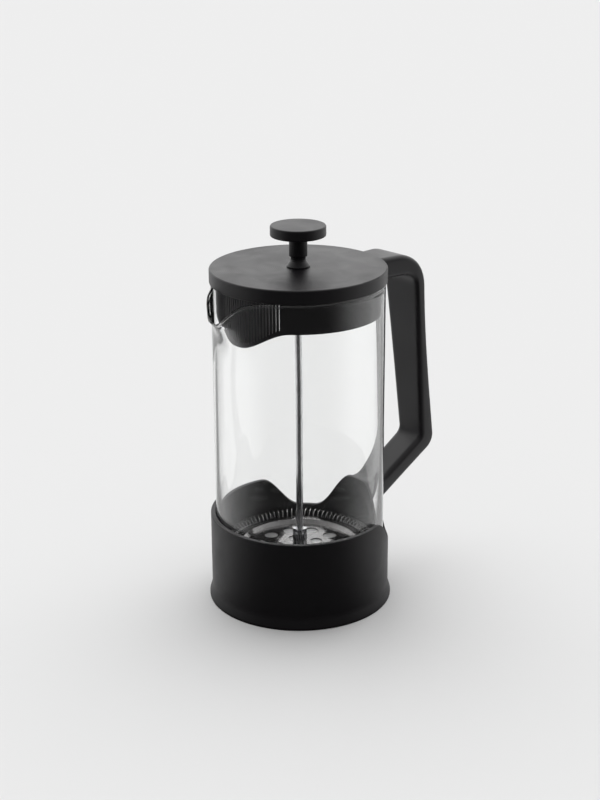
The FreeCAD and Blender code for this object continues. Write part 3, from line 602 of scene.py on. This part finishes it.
def woven_wire():
    """Plain weave of fine wire: crossing ribs, with painted shade in the gaps between them."""
    group, given, made = effect_group("woven_wire", (
        ("Wire Colour", "NodeSocketColor", (0.5, 0.5, 0.5, 1.0)),
        ("Painted Gap Shade", "NodeSocketColor", (0.05, 0.05, 0.05, 1.0)),
        ("Wires", "NodeSocketFloat", 480.0),
    ), (
        ("Colour", "NodeSocketColor"),
        ("Normal", "NodeSocketVector"),
    ))
    place = add(group, "ShaderNodeTexCoord")
    ribs = []
    for direction in ("X", "Y"):
        rib = add(group, "ShaderNodeTexWave", wave_type="BANDS", bands_direction=direction)
        join(group, place.outputs["Object"], rib.inputs["Vector"])
        join(group, given.outputs["Wires"], rib.inputs["Scale"])
        ribs.append(rib)
    top = add(group, "ShaderNodeMath", operation="MAXIMUM")
    join(group, ribs[0].outputs["Fac"], top.inputs[0])
    join(group, ribs[1].outputs["Fac"], top.inputs[1])
    # Painted shade: the gaps between the ribs get the near-black gap colour.
    tint = add(group, "ShaderNodeMix", data_type="RGBA")
    join(group, top.outputs["Value"], tint.inputs["Factor"])
    join(group, given.outputs["Painted Gap Shade"], tint.inputs[6])
    join(group, given.outputs["Wire Colour"], tint.inputs[7])
    join(group, tint.outputs[2], made.inputs["Colour"])
    raised = add(group, "ShaderNodeBump", Strength=0.6, Distance=0.0001)
    join(group, top.outputs["Value"], raised.inputs["Height"])
    join(group, raised.outputs["Normal"], made.inputs["Normal"])
    return group


screen, screen_shader = new_material("woven_screen", Metallic=1.0, Roughness=0.35)
with_effect(screen, screen_shader, woven_wire(), (("Colour", "Base Color"), ("Normal", "Normal")))
dress("mesh_screen", screen)

# ---------------------------------------------------------------- floor
# Seamless pale floor of a studio.  Seen through clear glass it is painted a shade lighter, and outside a
# narrow cone straight behind the press it is painted dark there (painted shade).  In reflections on the
# camera's side it is painted dark too (painted shade).
FRONT = Vector((-0.6915, -0.7223, 0.0))
# Angles off straight behind the press where the painted shade seen through glass starts, is full, and eases
# off.
GLASS_SHADE_START = math.cos(math.radians(27.0))
GLASS_SHADE_FULL = math.cos(math.radians(35.0))
GLASS_SHADE_EASE_START = math.cos(math.radians(50.0))
GLASS_SHADE_EASE_END = math.cos(math.radians(68.0))
FLOOR_HALF_WIDTH = 12.0
FLOOR_WHITE = 0.745
FLOOR_PAINTED_LIGHTER_THROUGH_GLASS = 0.81
ONE_WALL = 2.5


def straight_through(tree, direction):
    """Where a ray has only passed through clear glass, and how much painted shade it gets when it heads
    outside a narrow cone straight behind the press.

    A ray that met a wall and was reflected inside it counts, one that met metal doesn't."""
    path = add(tree, "ShaderNodeLightPath")
    reflected = add(tree, "ShaderNodeMath", operation="GREATER_THAN")
    join(tree, path.outputs["Glossy Depth"], reflected.inputs[0])
    crossed = add(tree, "ShaderNodeMath", operation="GREATER_THAN")
    crossed.inputs[1].default_value = ONE_WALL
    join(tree, path.outputs["Transmission Depth"], crossed.inputs[0])
    inside = add(tree, "ShaderNodeMath", operation="MULTIPLY")
    join(tree, reflected.outputs["Value"], inside.inputs[0])
    join(tree, crossed.outputs["Value"], inside.inputs[1])
    bent = add(tree, "ShaderNodeMath", operation="SUBTRACT", use_clamp=True)
    join(tree, path.outputs["Is Transmission Ray"], bent.inputs[0])
    join(tree, inside.outputs["Value"], bent.inputs[1])
    # Painted shade: from 27 degrees off straight behind, rays through the glass are marked dark. The mark
    # is nearly full by 35 degrees and eases to about a quarter from 50 to 68 degrees.
    shade_onset = add(tree, "ShaderNodeMapRange", interpolation_type="SMOOTHSTEP",
               From_Min=-GLASS_SHADE_START, From_Max=-GLASS_SHADE_FULL, To_Min=0.0, To_Max=0.94)
    join(tree, direction, shade_onset.inputs["Value"])
    shade_ease = add(tree, "ShaderNodeMapRange", interpolation_type="SMOOTHSTEP",
                From_Min=-GLASS_SHADE_EASE_START, From_Max=-GLASS_SHADE_EASE_END, To_Min=1.0, To_Max=0.25)
    join(tree, direction, shade_ease.inputs["Value"])
    gap = add(tree, "ShaderNodeMath", operation="MULTIPLY")
    join(tree, shade_onset.outputs["Result"], gap.inputs[0])
    join(tree, shade_ease.outputs["Result"], gap.inputs[1])
    painted_glass_shade = add(tree, "ShaderNodeMath", operation="MULTIPLY")
    join(tree, bent.outputs["Value"], painted_glass_shade.inputs[0])
    join(tree, gap.outputs["Value"], painted_glass_shade.inputs[1])
    return bent.outputs["Value"], painted_glass_shade.outputs["Value"]


floor_form = bmesh.new()
bmesh.ops.create_grid(floor_form, x_segments=2, y_segments=2, size=FLOOR_HALF_WIDTH)
floor_mesh = bpy.data.meshes.new("floor")
floor_form.to_mesh(floor_mesh)
floor_form.free()
floor = bpy.data.objects.new("floor", floor_mesh)
bpy.context.scene.collection.objects.link(floor)

sweep, sweep_shader = new_material("studio_floor", Roughness=0.9, Specular_IOR_Level=0.0)
tree = sweep.node_tree
path = add(tree, "ShaderNodeLightPath")
# Painted light: the floor's colour is a shade lighter where it is seen through the glass.
pale = add(tree, "ShaderNodeMix", data_type="RGBA")
pale.inputs[6].default_value = (FLOOR_WHITE, FLOOR_WHITE, FLOOR_WHITE, 1.0)
pale.inputs[7].default_value = (FLOOR_PAINTED_LIGHTER_THROUGH_GLASS, FLOOR_PAINTED_LIGHTER_THROUGH_GLASS, FLOOR_PAINTED_LIGHTER_THROUGH_GLASS, 1.0)
join(tree, path.outputs["Is Transmission Ray"], pale.inputs["Factor"])
join(tree, pale.outputs[2], sweep_shader.inputs["Base Color"])
place = add(tree, "ShaderNodeTexCoord")
heading = add(tree, "ShaderNodeVectorMath", operation="NORMALIZE")
join(tree, place.outputs["Object"], heading.inputs[0])
toward = add(tree, "ShaderNodeVectorMath", operation="DOT_PRODUCT")
toward.inputs[1].default_value = FRONT
join(tree, heading.outputs["Vector"], toward.inputs[0])
# Painted shade: in glossy reflections, the floor on the camera's side is painted dark.
dim = add(tree, "ShaderNodeMapRange", interpolation_type="SMOOTHSTEP",
          From_Min=0.0, From_Max=0.85, To_Min=0.0, To_Max=0.93)
join(tree, toward.outputs["Value"], dim.inputs["Value"])
reflection_painted_shade = add(tree, "ShaderNodeMath", operation="MULTIPLY")
join(tree, path.outputs["Is Glossy Ray"], reflection_painted_shade.inputs[0])
join(tree, dim.outputs["Result"], reflection_painted_shade.inputs[1])
# Painted shade: seen through the glass, the floor is painted dark outside a narrow cone straight behind the
# press.
painted_glass_shade = straight_through(tree, toward.outputs["Value"])[1]
shaded = add(tree, "ShaderNodeMath", operation="MAXIMUM")
join(tree, reflection_painted_shade.outputs["Value"], shaded.inputs[0])
join(tree, painted_glass_shade, shaded.inputs[1])
dark = add(tree, "ShaderNodeBsdfDiffuse", Color=(0.0, 0.0, 0.0, 1.0))
swap = add(tree, "ShaderNodeMixShader")
join(tree, shaded.outputs["Value"], swap.inputs["Fac"])
join(tree, sweep_shader.outputs["BSDF"], swap.inputs[1])
join(tree, dark.outputs["BSDF"], swap.inputs[2])
join(tree, swap.outputs["Shader"], tree.nodes["Material Output"].inputs["Surface"])
floor_mesh.materials.append(sweep)

# ---------------------------------------------------------------- sky
# Even soft light, dark on the camera's side so that the black plastic keeps its depth, with a
# broad key light high behind the press for the floor.
KEY_LIGHT = Vector((0.48, 0.5, 0.72))
BACKDROP_WHITE = 0.84

world = bpy.data.worlds.new("studio_sky")
world.use_nodes = True
bpy.context.scene.world = world
tree = world.node_tree
place = add(tree, "ShaderNodeTexCoord")
toward = add(tree, "ShaderNodeVectorMath", operation="DOT_PRODUCT")
toward.inputs[1].default_value = FRONT
join(tree, place.outputs["Generated"], toward.inputs[0])
side = add(tree, "ShaderNodeMapRange", interpolation_type="SMOOTHSTEP",
           From_Min=-0.75, From_Max=0.7, To_Min=1.45, To_Max=0.05)
join(tree, toward.outputs["Value"], side.inputs["Value"])
apart = add(tree, "ShaderNodeSeparateXYZ")
join(tree, place.outputs["Generated"], apart.inputs["Vector"])
height = add(tree, "ShaderNodeMapRange", From_Min=0.2, From_Max=1.0, To_Min=0.0, To_Max=0.6)
join(tree, apart.outputs["Z"], height.inputs["Value"])
bright = add(tree, "ShaderNodeMath", operation="ADD")
join(tree, side.outputs["Result"], bright.inputs[0])
join(tree, height.outputs["Result"], bright.inputs[1])
facing_key = add(tree, "ShaderNodeVectorMath", operation="DOT_PRODUCT")
facing_key.inputs[1].default_value = KEY_LIGHT
join(tree, place.outputs["Generated"], facing_key.inputs[0])
key = add(tree, "ShaderNodeMapRange", interpolation_type="SMOOTHSTEP",
          From_Min=0.35, From_Max=1.0, To_Min=0.42, To_Max=2.45)
join(tree, facing_key.outputs["Value"], key.inputs["Value"])
path = add(tree, "ShaderNodeLightPath")
soft = add(tree, "ShaderNodeMix", data_type="FLOAT")
join(tree, path.outputs["Is Diffuse Ray"], soft.inputs["Factor"])
join(tree, bright.outputs["Value"], soft.inputs["A"])
join(tree, key.outputs["Result"], soft.inputs["B"])
# Painted shade: seen through the glass, the plain sky is painted dark outside a narrow cone straight behind
# the press. Camera rays see it plain.
bent, painted_glass_shade = straight_through(tree, toward.outputs["Value"])
seen = add(tree, "ShaderNodeMath", operation="MAXIMUM")
join(tree, path.outputs["Is Camera Ray"], seen.inputs[0])
join(tree, bent, seen.inputs[1])
backdrop = add(tree, "ShaderNodeMath", operation="MULTIPLY_ADD")
backdrop.inputs[1].default_value = -BACKDROP_WHITE
backdrop.inputs[2].default_value = BACKDROP_WHITE
join(tree, painted_glass_shade, backdrop.inputs[0])
plain = add(tree, "ShaderNodeMix", data_type="FLOAT")
join(tree, backdrop.outputs["Value"], plain.inputs["B"])
join(tree, seen.outputs["Value"], plain.inputs["Factor"])
join(tree, soft.outputs["Result"], plain.inputs["A"])
sky = tree.nodes["Background"]
sky.inputs["Color"].default_value = (1.0, 1.0, 1.0, 1.0)
join(tree, plain.outputs["Result"], sky.inputs["Strength"])

# ---------------------------------------------------------------- camera
# The camera stands a metre off and looks down a little, with the spout to the left and the
# handle to the right.
TARGET = Vector((0.0, 0.0, 0.12275))
DISTANCE = 0.96703
AZIMUTH = math.radians(-43.75)
ELEVATION = math.radians(19.786)
ROLL = math.radians(-0.3327)
lens = bpy.data.cameras.new("camera")
lens.lens = 74.25
lens.sensor_width = 36.0
lens.shift_x = 0.00118
lens.clip_start = 0.01
lens.clip_end = 100.0
camera = bpy.data.objects.new("camera", lens)
bpy.context.scene.collection.objects.link(camera)
tilt = Matrix.Rotation(AZIMUTH, 4, "Z") @ Matrix.Rotation(math.pi / 2 - ELEVATION, 4, "X")
camera.matrix_world = (Matrix.Translation(TARGET) @ tilt @ Matrix.Translation((0.0, 0.0, DISTANCE))
                       @ Matrix.Rotation(ROLL, 4, "Z"))
bpy.context.scene.camera = camera
bpy.context.scene.view_settings.view_transform = "Standard"
